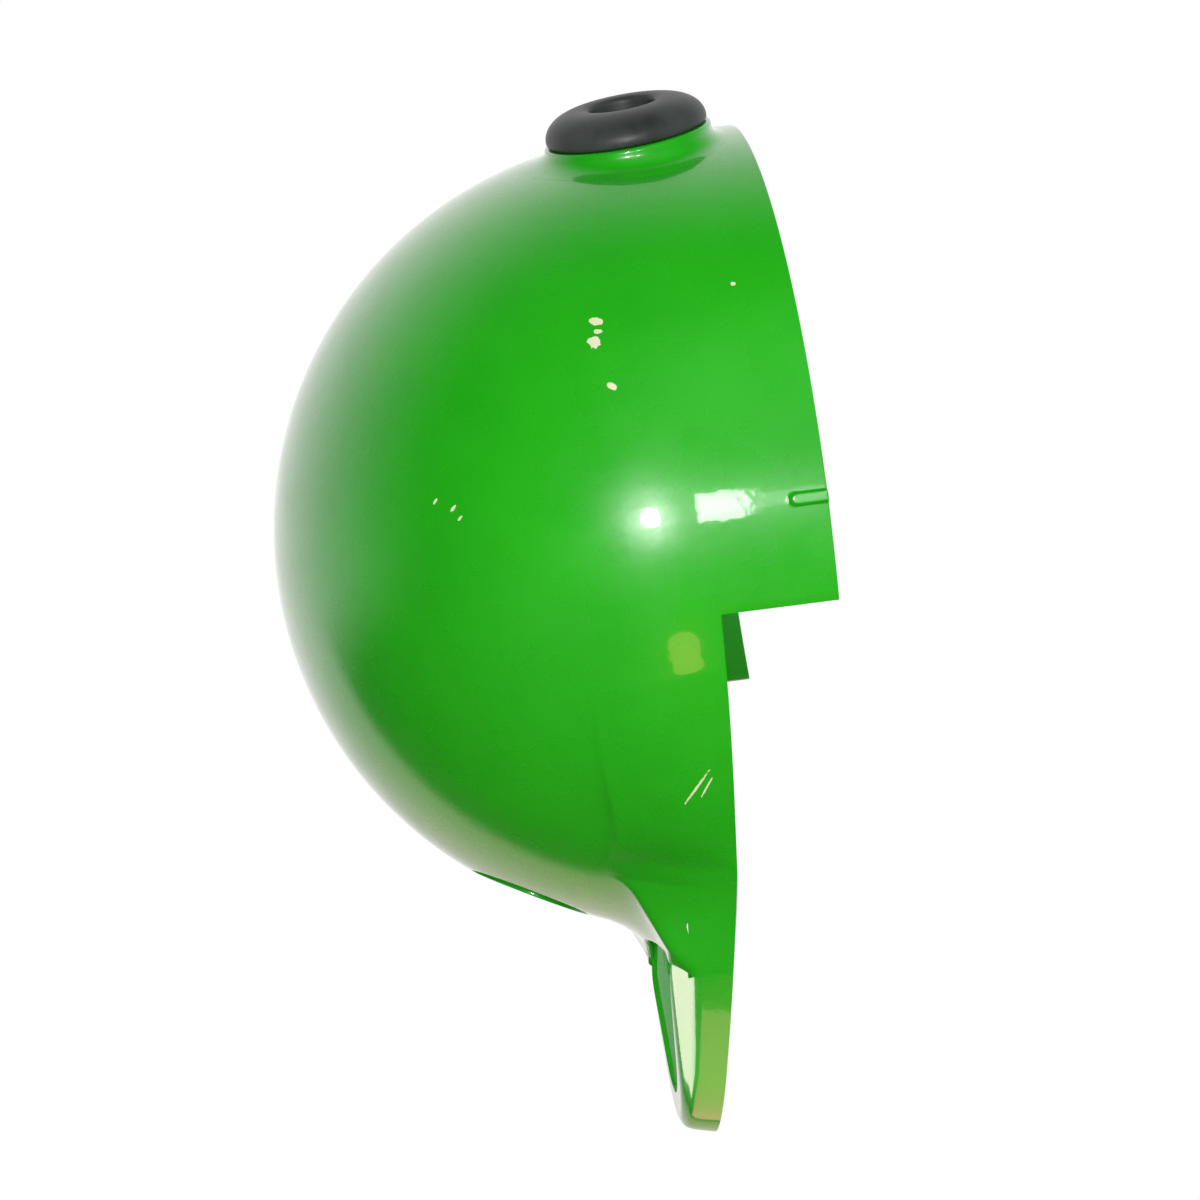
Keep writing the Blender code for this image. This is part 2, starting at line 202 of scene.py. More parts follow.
def outline_radius(angle):
    """Distance from the origin to the outline, at angles counted from straight down."""
    low = np.full_like(angle, 0.5 * DOME_RADIUS)
    high = np.full_like(angle, 2 * DOME_RADIUS)
    for _ in range(40):
        middle = (low + high) / 2
        inside = outline_distance(middle * np.sin(angle), -middle * np.cos(angle)) < 0
        low, high = np.where(inside, middle, low), np.where(inside, high, middle)
    return low


def flare_depth(radius, plate):
    """Depth of the dome, and of the flare that runs from it out to the plate round the window."""
    dome = np.sqrt(np.maximum(DOME_RADIUS**2 - radius**2, 0.0))
    start = math.sqrt(DOME_RADIUS**2 - FLARE_START_RADIUS**2)
    slope = -FLARE_START_RADIUS / start
    run = FLARE_END_RADIUS - FLARE_START_RADIUS
    s = np.clip((radius - FLARE_START_RADIUS) / run, 0.0, 1.0)
    curve = (2 * s**3 - 3 * s**2 + 1) * start + (s**3 - 2 * s**2 + s) * run * slope
    curve = curve + (3 * s**2 - 2 * s**3) * plate
    return np.where(radius < FLARE_START_RADIUS, dome, curve)


def rim_depth(z):
    """How far the tail's rim lies behind the plane of the lower rim."""
    below = np.maximum(RIM_RECEDES_FROM_Z - z, 0.0)
    return TIP_SETBACK * (below / (RIM_RECEDES_FROM_Z - TAIL_TIP_Z)) ** SETBACK_POWER


def wall_depth(inset, reach, z):
    """Depth of the side wall. Reach is how far the outline lies outside the dome's circle."""
    dome_wall = np.sqrt(2 * DOME_RADIUS * inset - inset**2)
    slope = np.maximum(DOME_WALL_SLOPE, DOME_WALL_RISE / (reach + DOME_WALL_INSET))
    slope = slope + (WALL_SLOPE - slope) * smooth_step(-WALL_TURNS_FROM_Z, -WALL_TURNS_TO_Z, -z)
    tail_wall = rim_depth(z) + slope * inset
    return dome_wall + (tail_wall - dome_wall) * smooth_step(0.0, WALL_BLEND, reach)


def plate_depth(inset, z):
    """Depth of the flank inside the tail's ridge, and of the flat round the window."""
    below = np.maximum(RIDGE_Z - z, 0.0)
    ridge = RIDGE_DEPTH + RIDGE_DEPTH_GROWTH * below
    ridge_inset = (ridge - rim_depth(np.minimum(z, RIDGE_Z))) / WALL_SLOPE
    flank = ridge + FLANK_SLOPE * (inset - ridge_inset) + FOLD_RISE * np.maximum(z - RIDGE_Z, 0.0)
    flat = PLATE_DEPTH + PLATE_RISE * np.maximum(z - PLATE_RISES_FROM_Z, 0.0)
    return smooth_min(flank, flat, PLATE_ROUND)


def skin_depth(y, z):
    """Depth of the outer surface behind the plane of the rim, so that x = -depth."""
    radius = np.hypot(y, z)
    inset = np.clip(-outline_distance(y, z), 0.0, DOME_RADIUS)
    reach = np.maximum(inset - (DOME_RADIUS - radius), 0.0)
    wall = wall_depth(inset, reach, z)
    width = 1e-6 + FOLD_ROUND * np.clip(reach / OUTLINE_BLEND, 0.0, 1.0)
    return smooth_min(flare_depth(radius, plate_depth(inset, z)), wall, width)


def rib_height(x, angle):
    """Height of the three pressed ribs above the collar, with soft sides and a round inner end."""
    height = np.zeros_like(angle)
    for centre in (SIDE_RIB_ANGLE, math.pi, 2 * math.pi - SIDE_RIB_ANGLE):
        across = np.abs(angle - centre) * DOME_RADIUS
        inner = np.maximum(COLLAR_LENGTH - RIB_LENGTH + RIB_HALF_WIDTH - x, 0.0)
        reach = np.hypot(across, inner)
        height += RIB_HEIGHT * (1 - smooth_step(RIB_HALF_WIDTH - RIB_EDGE, RIB_HALF_WIDTH, reach))
    return height


def spread(start, end, step):
    return np.linspace(start, end, max(2, int(round(abs(end - start) / step)) + 1))


def column_angles():
    """Angles from straight down, all the way round: closer together at the tail and the ribs."""
    step = math.degrees(math.acos(-STEP_Z / DOME_RADIUS))
    side = math.degrees(SIDE_RIB_ANGLE)
    half = [spread(0, 36, 0.45), spread(36, step, 1.0), spread(step, side - 1.4, 1.2)]
    half += [spread(side - 1.4, side + 1.4, 0.1), spread(side + 1.4, 178.6, 1.2), spread(178.6, 180, 0.1)]
    half = np.radians(np.unique(np.round(np.concatenate(half), 6)))
    return np.concatenate([half, (2 * math.pi - half[1:-1])[::-1]]), math.radians(step)


def skin_grid():
    """The outer surface of dome and tail, as rings of points from the rim to the pole."""
    angles, step = column_angles()
    rim = outline_radius(angles)
    rim = np.where(-np.cos(angles) * DOME_RADIUS > STEP_Z - 1e-6, DOME_RADIUS, rim)
    s = np.linspace(0, 1, 56)[:, None]
    outer = FLARE_START_RADIUS + (rim[None] - FLARE_START_RADIUS) * (1 - s**1.8)
    start = math.asin(math.sqrt(1 - (FLARE_START_RADIUS / DOME_RADIUS) ** 2))
    latitude = np.linspace(start, math.pi / 2, 52)[1:-1, None]
    inner = np.broadcast_to(DOME_RADIUS * np.cos(latitude), (len(latitude), len(angles)))
    radius = np.concatenate([outer, inner])
    y, z = radius * np.sin(angles)[None], -radius * np.cos(angles)[None]
    return np.stack([-skin_depth(y, z), y, z], axis=-1), angles, step


def collar_grid(angles):
    x = np.concatenate([spread(0, 0.013, 0.0013), spread(0.0134, COLLAR_LENGTH, 0.00035)])
    x = x[:, None]
    radius = DOME_RADIUS + rib_height(x, angles[None] + 0 * x)
    full = x + 0 * radius
    return np.stack([full, radius * np.sin(angles), -radius * np.cos(angles)], axis=-1)


def open_skin():
    """The whole outer surface as one open mesh: dome, tail and collar, before any opening is cut."""
    skin, angles, step = skin_grid()
    collar = collar_grid(angles)
    work = bmesh.new()
    rings = [[work.verts.new(p) for p in row] for row in skin]
    pole = work.verts.new((-DOME_RADIUS, 0, 0))
    count = len(angles)
    above = -np.cos(angles) * DOME_RADIUS > STEP_Z - 1e-6
    for first, second in zip(rings, rings[1:]):
        for i in range(count):
            j = (i + 1) % count
            work.faces.new((first[i], second[i], second[j], first[j]))
    for i in range(count):
        work.faces.new((rings[-1][i], pole, rings[-1][(i + 1) % count]))
    strips = [rings[0]]
    for row in collar[1:]:
        strips.append([work.verts.new(p) if up else None for p, up in zip(row, above)])
    for first, second in zip(strips, strips[1:]):
        for i in range(count):
            j = (i + 1) % count
            if above[i] and above[j]:
                work.faces.new((second[i], first[i], first[j], second[j]))
    bmesh.ops.recalc_face_normals(work, faces=work.faces)
    if sum(face.normal.x for face in work.faces) > 0:
        bmesh.ops.reverse_faces(work, faces=work.faces)
    return work


# ---------------------------------------------------------------- mesh helpers
def new_object(name, work):
    mesh = bpy.data.meshes.new(name)
    work.to_mesh(mesh)
    work.free()
    item = bpy.data.objects.new(name, mesh)
    bpy.context.scene.collection.objects.link(item)
    return item


def apply_modifiers(item):
    graph = bpy.context.evaluated_depsgraph_get()
    mesh = bpy.data.meshes.new_from_object(item.evaluated_get(graph))
    item.modifiers.clear()
    item.data = mesh
    return item


def solidify(item, thickness):
    sheet = item.modifiers.new("sheet", "SOLIDIFY")
    sheet.thickness = thickness
    sheet.offset = -1
    sheet.use_even_offset = True
    sheet.use_quality_normals = True


def cut(item, cutter):
    boolean = item.modifiers.new("cut", "BOOLEAN")
    boolean.operation = "DIFFERENCE"
    boolean.solver = "MANIFOLD"
    boolean.object = cutter


def round_edges(item, width, keep=None, segments=2, angle=math.radians(50)):
    """Rounds the sharp edges; keep(middle of an edge) says which ones stay sharp."""
    work = bmesh.new()
    work.from_mesh(item.data)
    edges = []
    for edge in work.edges:
        if len(edge.link_faces) != 2 or edge.calc_face_angle() < angle:
            continue
        middle = (edge.verts[0].co + edge.verts[1].co) / 2
        if keep is None or not keep(middle):
            edges.append(edge)
    bmesh.ops.bevel(
        work, geom=edges, offset=width, segments=segments, profile=0.5, affect="EDGES",
        clamp_overlap=True,
    )
    work.to_mesh(item.data)
    work.free()
    return item


def shade(item, angle=math.radians(40)):
    item.data.shade_smooth()
    item.data.set_sharp_from_angle(angle=angle)


def remove(*items):
    for item in items:
        bpy.data.objects.remove(item, do_unlink=True)


def extruded(name, outline, low, high):
    """A closed outline of (y, z) points, extruded along X."""
    work = bmesh.new()
    loop = [work.verts.new((low, y, z)) for y, z in outline]
    made = bmesh.ops.extrude_face_region(work, geom=[work.faces.new(loop)])
    moved = [vert for vert in made["geom"] if isinstance(vert, bmesh.types.BMVert)]
    bmesh.ops.translate(work, vec=(high - low, 0, 0), verts=moved)
    bmesh.ops.recalc_face_normals(work, faces=work.faces)
    if work.calc_volume(signed=True) < 0:
        bmesh.ops.reverse_faces(work, faces=work.faces)
    return new_object(name, work)


def cylinder(name, radius, axis, start, end, segments=128):
    """A closed cylinder along an axis through the origin."""
    work = bmesh.new()
    bmesh.ops.create_cone(
        work, cap_ends=True, segments=segments, radius1=radius, radius2=radius, depth=end - start
    )
    turn = Vector((0, 0, 1)).rotation_difference(axis).to_matrix().to_4x4()
    work.transform(Matrix.Translation(axis * (start + end) / 2) @ turn)
    if work.calc_volume(signed=True) < 0:
        bmesh.ops.reverse_faces(work, faces=work.faces)
    return new_object(name, work)


def turned(name, sections, matrix):
    """Closed sections of (radius, height), one for each step round Z, joined and then placed."""
    work = bmesh.new()
    rings = []
    for index, section in enumerate(sections):
        turn = 2 * math.pi * index / len(sections)
        rings.append([work.verts.new((r * math.cos(turn), r * math.sin(turn), h)) for r, h in section])
    for first, second in zip(rings, rings[1:] + rings[:1]):
        for i in range(len(first)):
            j = (i + 1) % len(first)
            work.faces.new((first[i], second[i], second[j], first[j]))
    if work.calc_volume(signed=True) < 0:
        bmesh.ops.reverse_faces(work, faces=work.faces)
    work.transform(matrix)
    return new_object(name, work)


# ---------------------------------------------------------------- pieces
def window_outline():
    """The tail's window seen along X: a round lower end and straight sides up under the dome's lip."""
    centre_z = WINDOW_END_Z + WINDOW_END_RADIUS
    points = []
    for angle in np.linspace(-math.pi / 2, -WINDOW_SIDE_ANGLE, 24):
        points.append((WINDOW_END_RADIUS * math.cos(angle), centre_z + WINDOW_END_RADIUS * math.sin(angle)))
    points[0] = (0.0, points[0][1])
    y, z = points[-1]
    points.append((y + (WINDOW_TOP_Z - z) * math.tan(WINDOW_SIDE_ANGLE), WINDOW_TOP_Z))
    return points + [(-y, z) for y, z in reversed(points[1:])]


def lip_outline():
    """The opening under the dome's lip seen along X: a flat arch, open below."""
    points = []
    for angle in np.linspace(0, math.pi, 65):
        rise = (LIP_CROWN_Z - LIP_FOOT_Z) * math.sin(angle)
        points.append((LIP_HALF_WIDTH * math.cos(angle), LIP_FOOT_Z + rise))
    low = LIP_FOOT_Z - 0.01
    return [(LIP_HALF_WIDTH, low), *points, (-LIP_HALF_WIDTH, low)]


def trimmed_skin(low, high):
    """The open skin between two heights."""
    work = open_skin()
    for height, sign in ((low, 1), (high, -1)):
        geom = [*work.verts, *work.edges, *work.faces]
        bmesh.ops.bisect_plane(
            work, geom=geom, plane_co=(0, 0, height), plane_no=(0, 0, sign), clear_inner=True
        )
    bmesh.ops.remove_doubles(work, verts=work.verts, dist=5e-6)
    return work


def on_seam(point):
    return abs(point.z - SEAM_Z) < 0.4 * MM


def neck_hole_cutter():
    work = bmesh.new()
    radius = NECK_RADIUS + 0.0008
    bmesh.ops.create_cone(work, cap_ends=True, segments=128, radius1=radius, radius2=radius, depth=0.03)
    work.transform(neck_matrix())
    return new_object("neck_hole", work)


def make_dome():
    item = new_object("painted_dome", trimmed_skin(SEAM_Z, 1.0))
    solidify(item, SHEET)
    down = Vector((-math.sin(DRAIN_ANGLE), 0, -math.cos(DRAIN_ANGLE)))
    cutters = [
        cylinder("drain", DRAIN_RADIUS, down, DRAIN_FROM, DRAIN_TO),
        neck_hole_cutter(),
        extruded("lip", lip_outline(), CUT_FROM_X, CUT_TO_X),
    ]
    for cutter in cutters:
        cut(item, cutter)
    apply_modifiers(item)
    remove(*cutters)
    round_edges(item, EDGE_ROUND, on_seam)
    shade(item)
    return item


def make_tail():
    """The tail, with a tongue that runs up behind the dome's lip."""
    work = trimmed_skin(-1.0, SEAM_Z)
    edges = []
    for edge in work.edges:
        ends = edge.verts
        near = all(abs(v.co.z - SEAM_Z) < 1e-6 and abs(v.co.y) < TONGUE_HALF_WIDTH for v in ends)
        if near and edge.is_boundary:
            edges.append(edge)
    rise = TONGUE_HEIGHT / TONGUE_STEPS
    for step in range(TONGUE_STEPS):
        made = bmesh.ops.extrude_edge_only(work, edges=edges)["geom"]
        edges = [item for item in made if isinstance(item, bmesh.types.BMEdge)]
        shares = (step / TONGUE_STEPS, (step + 1) / TONGUE_STEPS)
        before, after = (smooth_step(0.0, TONGUE_DROP_SHARE, share) for share in shares)
        for vert in (item for item in made if isinstance(item, bmesh.types.BMVert)):
            spread_out = math.tan(TAIL_HALF_ANGLE) * vert.co.y / TONGUE_HALF_WIDTH
            vert.co += Vector((TONGUE_DROP * float(after - before), spread_out * rise, rise))
    bmesh.ops.recalc_face_normals(work, faces=work.faces)
    if sum(face.normal.x for face in work.faces) > 0:
        bmesh.ops.reverse_faces(work, faces=work.faces)
    item = new_object("painted_tail", work)
    solidify(item, SHEET)
    window = extruded("window", window_outline(), CUT_FROM_X, CUT_TO_X)
    cut(item, window)
    apply_modifiers(item)
    remove(window)
    round_edges(item, EDGE_ROUND)
    shade(item)
    return item


def neck_matrix():
    """The neck's own axes: the origin in the middle of its rim, +Z out of the shell."""
    place = Matrix.Translation((NECK_X, 0, 0)) @ Matrix.Rotation(NECK_TILT, 4, "X")
    return place @ Matrix.Translation((0, 0, NECK_DISTANCE)) @ Matrix.Rotation(-NECK_LEAN, 4, "Y")


def arc(centre, radius, start, end, count):
    """Points on an arc between two angles in degrees."""
    angles = np.radians(np.linspace(start, end, count))
    return [(centre[0] + radius * math.cos(a), centre[1] + radius * math.sin(a)) for a in angles]


def shell_height(radius, turn, shell_radius):
    """Height of the dome or collar under a point beside the neck, counted from the neck's rim."""
    matrix = neck_matrix()
    start = matrix @ Vector((radius * math.cos(turn), radius * math.sin(turn), 0))
    axis = matrix.to_3x3() @ Vector((0, 0, 1))
    low, high = -0.02, 0.01
    for _ in range(30):
        middle = (low + high) / 2
        point = start + axis * middle
        inside = Vector((min(point.x, 0.0), point.y, point.z)).length < shell_radius
        low, high = (middle, high) if inside else (low, middle)
    return low


def neck_section(turn):
    """One section of the neck: its flat top, its wall, and fillets that end in the shell's two faces."""
    ahead = (1 + math.cos(turn)) / 2
    fillet = NECK_FILLET + (NECK_FRONT_FILLET - NECK_FILLET) * ahead
    points = [(NECK_HOLE_RADIUS, 0.0)]
    points += arc((NECK_RADIUS - NECK_EDGE, -NECK_EDGE), NECK_EDGE, 90, 0, 7)
    foot = NECK_RADIUS + fillet
    level = shell_height(foot, turn, DOME_RADIUS + 0.00002)
    slope = (level - shell_height(foot - 0.001, turn, DOME_RADIUS + 0.00002)) / 0.001
    bend = (NECK_RADIUS, level - slope * fillet)
    top = (NECK_RADIUS, min(-NECK_EDGE, bend[1] + 0.7 * fillet))
    for share in np.linspace(0, 1, 13)[1:]:
        weights = ((1 - share) ** 2, 2 * share * (1 - share), share**2)
        ends = (top, bend, (foot, level))
        points.append(tuple(sum(w * end[i] for w, end in zip(weights, ends)) for i in range(2)))
    inner_foot = NECK_RADIUS + 0.0012
    inner_level = shell_height(inner_foot, turn, DOME_RADIUS - SHEET - 0.00003)
    points += [(foot, level - 0.0003), (foot, level - 0.0006)]
    points += [(inner_foot, inner_level)]
    points += [(NECK_RADIUS - SHEET + 0.0008, inner_level + 0.0002)]
    points += [(NECK_RADIUS - SHEET, inner_level + 0.0010)]
    points += [(NECK_RADIUS - SHEET, -SHEET), (NECK_HOLE_RADIUS, -SHEET)]
    return points


def make_neck():
    """The raised ring round the grommet, drawn smoothly out of the dome."""
    segments = 180
    sections = [neck_section(2 * math.pi * index / segments) for index in range(segments)]
    item = turned("painted_neck", sections, neck_matrix())
    shade(item)
    return item


def make_grommet():
    """A rubber grommet with a domed flange, a waist and a smaller foot."""
    reach, rise = GROMMET_RADIUS - GROMMET_CROWN_RADIUS, GROMMET_HEIGHT - GROMMET_BASE
    profile = []
    for angle in np.radians(np.linspace(92, 0, 26)):
        across = reach * math.copysign(abs(math.cos(angle)) ** 0.92, math.cos(angle))
        profile.append((GROMMET_CROWN_RADIUS + across, GROMMET_BASE + rise * math.sin(angle)))
    profile += arc((GROMMET_RADIUS - GROMMET_EDGE, GROMMET_EDGE), GROMMET_EDGE, -5, -90, 6)
    waist, foot = -GROMMET_WAIST_LENGTH, -GROMMET_WAIST_LENGTH - GROMMET_FOOT_LENGTH
    profile += [(GROMMET_WAIST_RADIUS + 0.0003, 0), (GROMMET_WAIST_RADIUS, -0.0003)]
    profile += [(GROMMET_WAIST_RADIUS, waist + 0.0002), (GROMMET_WAIST_RADIUS + 0.0002, waist)]
    profile += arc((GROMMET_FOOT_RADIUS - FOOT_EDGE, waist - FOOT_EDGE), FOOT_EDGE, 90, 0, 5)
    end_radius = GROMMET_FOOT_RADIUS - FOOT_TAPER
    profile += arc((end_radius - FOOT_EDGE, foot + FOOT_EDGE), FOOT_EDGE, 0, -90, 5)
    profile += arc((GROMMET_BORE_RADIUS + FOOT_EDGE, foot + FOOT_EDGE), FOOT_EDGE, -90, -180, 5)
    lip = GROMMET_LIP
    profile += arc((GROMMET_BORE_RADIUS + lip, GROMMET_HEIGHT - lip - 0.0001), lip, 180, 100, 8)
    place = neck_matrix() @ Matrix.Translation((0, 0, GROMMET_LIFT))
    item = turned("rubber_grommet", [profile] * 144, place)
    shade(item)
    return item


# ---------------------------------------------------------------- materials
class Nodes:
    """A short way to add and join the nodes of one material."""

    def __init__(self, name):
        self.material = bpy.data.materials.new(name)
        self.material.use_nodes = True
        self.tree = self.material.node_tree
        self.shader = self.tree.nodes["Principled BSDF"]

    def add(self, kind, **inputs):
        node = self.tree.nodes.new(kind)
        for key, value in inputs.items():
            name = key.replace("_", " ")
            if name in node.inputs:
                self.give(node.inputs[name], value)
            else:
                setattr(node, key, value)
        return node

    def give(self, socket, value):
        if isinstance(value, bpy.types.NodeSocket):
            self.tree.links.new(value, socket)
        else:
            socket.default_value = value

    def noise(self, scale, detail=2.0, roughness=0.5):
        where = self.tree.nodes.get("Texture Coordinate") or self.add("ShaderNodeTexCoord")
        node = self.add("ShaderNodeTexNoise", Scale=scale, Detail=detail, Roughness=roughness)
        self.tree.links.new(where.outputs["Object"], node.inputs["Vector"])
        return node.outputs["Fac"]

    def ramp(self, source, stops):
        node = self.add("ShaderNodeValToRGB")
        self.tree.links.new(source, node.inputs["Fac"])
        while len(node.color_ramp.elements) < len(stops):
            node.color_ramp.elements.new(0.5)
        for element, (place, colour) in zip(node.color_ramp.elements, stops):
            element.position = place
            element.color = colour if len(colour) == 4 else (*colour, 1.0)
        return node.outputs["Color"]

    def math(self, operation, first, second):
        node = self.add("ShaderNodeMath", operation=operation)
        self.give(node.inputs[0], first)
        self.give(node.inputs[1], second)
        return node.outputs[0]


def grey(value):
    return (value, value, value)


def wear_and_reflection_mask(nodes):
    """One where the paint is chipped or scratched on the near side, and along two streaks of painted
    reflection; zero elsewhere.
    """
    ragged = nodes.math("MULTIPLY", nodes.noise(900.0, 3.0), 1.1)
    where = nodes.tree.nodes["Texture Coordinate"].outputs["Object"]
    total = 0.0
    for x, z, length, width, turn in WEAR_AND_REFLECTION_MARKS:
        local = nodes.add(
            "ShaderNodeMapping", vector_type="TEXTURE", Vector=where,
            Location=(x * MM, -DOME_RADIUS, z * MM), Rotation=(0, -math.radians(turn), 0),
            Scale=(length * MM, 0.7 * DOME_RADIUS, width * MM),
        )
        reach = nodes.add("ShaderNodeVectorMath", operation="LENGTH", Vector=local.outputs[0])
        edge = nodes.math("ADD", reach.outputs["Value"], ragged)
        total = nodes.math("MAXIMUM", total, nodes.math("LESS_THAN", edge, 1.45))
    return total


def paint_material():
    """Deep gloss enamel with orange peel, faint mottling, chipped and scratched wear, and two pale streaks
    of painted reflection.
    """
    nodes = Nodes("green_enamel")
    shader = nodes.shader
    mottle = nodes.noise(38.0, 3.0)
    colour = nodes.ramp(mottle, [(0.3, (0.0120, 0.370, 0.0060)), (0.7, (0.0165, 0.420, 0.0080))])
    # Chipped spots show pale primer, and the same pale colour paints two streaks of reflection on the near
    # side.
    wear_and_reflection_mix = nodes.add("ShaderNodeMix", data_type="RGBA", Factor=wear_and_reflection_mask(nodes))
    nodes.give(wear_and_reflection_mix.inputs["A"], colour)
    nodes.give(wear_and_reflection_mix.inputs["B"], PRIMER_AND_REFLECTION_COLOUR)
    nodes.give(shader.inputs["Base Color"], wear_and_reflection_mix.outputs["Result"])
    rough = nodes.ramp(nodes.noise(120.0, 4.0), [(0.3, grey(0.24)), (0.7, grey(0.32))])
    nodes.give(shader.inputs["Roughness"], rough)
    shader.inputs["Coat Weight"].default_value = 1.0
    shader.inputs["Coat Roughness"].default_value = 0.05
    shader.inputs["Coat IOR"].default_value = 1.55
    peel = nodes.noise(420.0, 2.0)
    bump = nodes.add("ShaderNodeBump", Strength=0.035, Distance=0.0004, Height=peel)
    nodes.give(shader.inputs["Normal"], bump.outputs["Normal"])
    nodes.give(shader.inputs["Coat Normal"], bump.outputs["Normal"])
    return nodes.material


def rubber_material():
    """Black moulded rubber with a dusty bloom."""
    nodes = Nodes("black_rubber")
    shader = nodes.shader
    bloom = nodes.noise(90.0, 5.0, 0.6)
    colour = nodes.ramp(bloom, [(0.35, (0.022, 0.026, 0.026)), (0.7, (0.052, 0.060, 0.058))])
    nodes.give(shader.inputs["Base Color"], colour)
    rough = nodes.ramp(bloom, [(0.3, grey(0.38)), (0.75, grey(0.55))])
    nodes.give(shader.inputs["Roughness"], rough)
    grain = nodes.noise(2600.0, 3.0)
    bump = nodes.add("ShaderNodeBump", Strength=0.25, Distance=0.00012, Height=grain)
    nodes.give(shader.inputs["Normal"], bump.outputs["Normal"])
    return nodes.material


def floor_material():
    nodes = Nodes("pale_floor")
    colour = nodes.ramp(nodes.noise(6.0, 2.0), [(0.3, (0.62, 0.53, 0.38)), (0.7, (0.68, 0.58, 0.43))])
    nodes.give(nodes.shader.inputs["Base Color"], colour)
    nodes.shader.inputs["Roughness"].default_value = 0.6
    return nodes.material


# ---------------------------------------------------------------- stage, lights and camera
def make_floor():
    work = bmesh.new()
    bmesh.ops.create_circle(work, cap_ends=True, segments=96, radius=12.0)
    item = new_object("floor", work)
    item.data.transform(Matrix.Translation((0, 0, FLOOR_Z)))
    item.data.materials.append(floor_material())
    item.visible_camera = False
    item.visible_glossy = False


def make_world():
    """White to the eye. Gloss reflects a bright backdrop behind the object and a dark room before it."""
    world = bpy.data.worlds.new("studio")
    world.use_nodes = True
    tree = world.node_tree
    tree.nodes.clear()

    def add(kind, **settings):
        node = tree.nodes.new(kind)
        for name, value in settings.items():
            setattr(node, name, value)
        return node

    def give(socket, value):
        if isinstance(value, bpy.types.NodeSocket):
            tree.links.new(value, socket)
        else:
            socket.default_value = value

    def ramped(source, low, high, start, end):
        node = add("ShaderNodeMapRange", interpolation_type="SMOOTHSTEP")
        for socket, value in zip(node.inputs, (source, low, high, start, end)):
            give(socket, value)
        return node.outputs["Result"]

    where = add("ShaderNodeTexCoord")
    split = add("ShaderNodeSeparateXYZ")
    give(split.inputs[0], where.outputs["Generated"])
    behind, height = split.outputs["Y"], split.outputs["Z"]
    soft = ramped(behind, -0.3, 0.75, ROOM_LIGHT, BACKDROP_LIGHT)
    sharp = ramped(behind, 0.58, 0.70, ROOM_LIGHT, LOW_BACKDROP_LIGHT)
    low_side = ramped(height, -0.25, 0.05, 1.0, 0.0)
    strength = add("ShaderNodeMix", data_type="FLOAT")
    give(strength.inputs["Factor"], low_side)
    give(strength.inputs["A"], soft)
    give(strength.inputs["B"], sharp)
    tint = add("ShaderNodeMix", data_type="RGBA")
    give(tint.inputs["Factor"], ramped(height, -0.75, 0.1, 1.0, 0.0))
    give(tint.inputs["A"], (1.0, 1.0, 0.98, 1.0))
    give(tint.inputs["B"], BACKDROP_LOW_COLOUR)
    shaped = add("ShaderNodeBackground")
    give(shaped.inputs["Color"], tint.outputs["Result"])
    give(shaped.inputs["Strength"], strength.outputs["Result"])
    seen = add("ShaderNodeBackground")
    give(seen.inputs["Color"], (1, 1, 1, 1))
    path = add("ShaderNodeLightPath")
    mix = add("ShaderNodeMixShader")
    give(mix.inputs["Fac"], path.outputs["Is Camera Ray"])
    give(mix.inputs[1], shaped.outputs[0])
    give(mix.inputs[2], seen.outputs[0])
    give(add("ShaderNodeOutputWorld").inputs["Surface"], mix.outputs[0])
    bpy.context.scene.world = world


def view_matrix():
    """Rotation that takes the object's axes into the camera's."""
    yaw, elevation = CAMERA_YAW, CAMERA_ELEVATION
    columns = [
        Vector((math.cos(yaw), 0, -math.sin(yaw))),
        Vector((-math.sin(yaw), 0, -math.cos(yaw))),
        Vector((0, 1, 0)),
    ]
    lean = Matrix.Rotation(elevation, 3, "X")
    roll = Matrix.Rotation(CAMERA_ROLL, 3, "Z")
    axes = Matrix(columns).transposed()
    return roll @ lean @ axes


def from_view(x, y, z):
    """A point given in dome radii along the camera's own axes, from the dome's centre."""
    return view_matrix().transposed() @ (Vector((x, y, z)) * DOME_RADIUS)


def make_camera():
    data = bpy.data.cameras.new("camera")
    data.lens = CAMERA_LENS
    data.sensor_width = 36.0
    data.clip_start = 0.01
    data.clip_end = 100.0
    camera = bpy.data.objects.new("camera", data)
    bpy.context.scene.collection.objects.link(camera)
    camera.matrix_world = Matrix.Translation(
        from_view(-CAMERA_ASIDE[0], -CAMERA_ASIDE[1], CAMERA_DISTANCE)
    ) @ view_matrix().transposed().to_4x4()
    bpy.context.scene.camera = camera


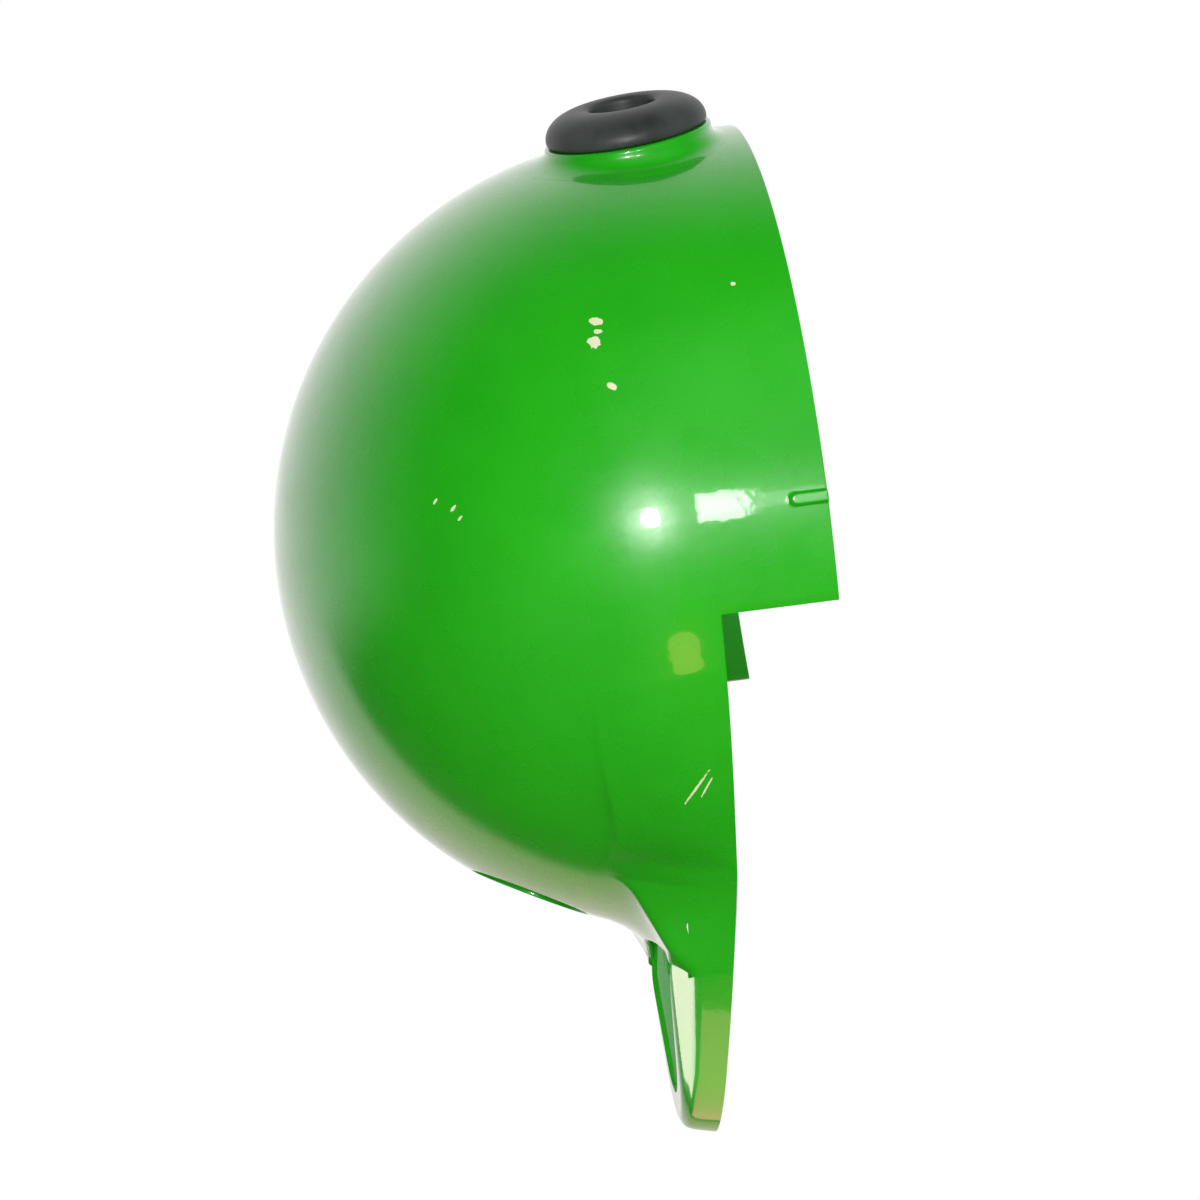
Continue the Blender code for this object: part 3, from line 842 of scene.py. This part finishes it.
def area_light(name, place, target, size, power, colour=WHITE, shape="DISK", size_y=None):
    """A lamp at a place, turned to a target, that the camera doesn't see. Power is in watts."""
    data = bpy.data.lights.new(name, "AREA")
    data.shape = shape
    data.size = size
    if size_y:
        data.size_y = size_y
    data.energy = power
    data.color = colour
    light = bpy.data.objects.new(name, data)
    bpy.context.scene.collection.objects.link(light)
    light.location = place
    light.rotation_mode = "QUATERNION"
    light.rotation_quaternion = (Vector(target) - Vector(place)).to_track_quat("-Z", "Y")
    light.visible_camera = False
    return light


def make_lights(tail):
    """A flash by the lens, a lamp and its glow beside it, soft fill, and three cards for the gloss."""
    area_light("flash", from_view(-0.77, 0.22, 8.0), CENTRE, 0.045, 1.5)
    lamp = area_light("lamp", from_view(1.18, 0.58, 7.8), CENTRE, 0.05, 0.20, WHITE, "RECTANGLE", 0.085)
    glow = area_light("glow", from_view(1.62, 0.70, 7.8), CENTRE, 0.09, 0.03, WHITE, "RECTANGLE", 0.05)
    fill = area_light("fill", from_view(2.6, 3.0, 7.5), CENTRE, 0.9, 4.1)
    low_fill = area_light("low_fill", from_view(-2.0, -5.0, 6.5), CENTRE, 0.9, 1.3)
    for light in (fill, low_fill):
        light.visible_glossy = False
    white_card = area_light(
        "white_card", FLANK_POINT + WHITE_CARD_OFFSET, FLANK_POINT, 0.032, 0.03,
        (1.0, 0.76, 0.78), "RECTANGLE", 0.045,
    )
    beige_card = area_light(
        "beige_card", TIP_POINT + BEIGE_CARD_OFFSET, TIP_POINT, 0.090, 0.040,
        (1.0, 0.48, 0.34), "RECTANGLE", 0.056,
    )
    warm = area_light("warm", WARM_POINT + WARM_OFFSET, WARM_POINT, 0.085, 0.05, (1.0, 0.50, 0.20))
    for light in (white_card, beige_card, warm, lamp, glow):
        light.visible_diffuse = False
    beside_tail = bpy.data.collections.new("beside_tail")
    beside_tail.objects.link(tail)
    for card in (white_card, beige_card):
        card.light_linking.receiver_collection = beside_tail


# ---------------------------------------------------------------- the object
def finish_piece(item, node, material):
    item.data.materials.clear()
    item.data.materials.append(material)
    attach(item, "root")
    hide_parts(node)


def main():
    make_camera()
    paint, rubber = paint_material(), rubber_material()
    finish_piece(make_dome(), "dome_shell", paint)
    tail = make_tail()
    finish_piece(tail, "tail_shroud", paint)
    finish_piece(make_neck(), "grommet_neck", paint)
    finish_piece(make_grommet(), "cable_grommet", rubber)
    make_floor()
    make_world()
    make_lights(tail)
    bpy.context.scene.view_settings.view_transform = "Standard"


main()
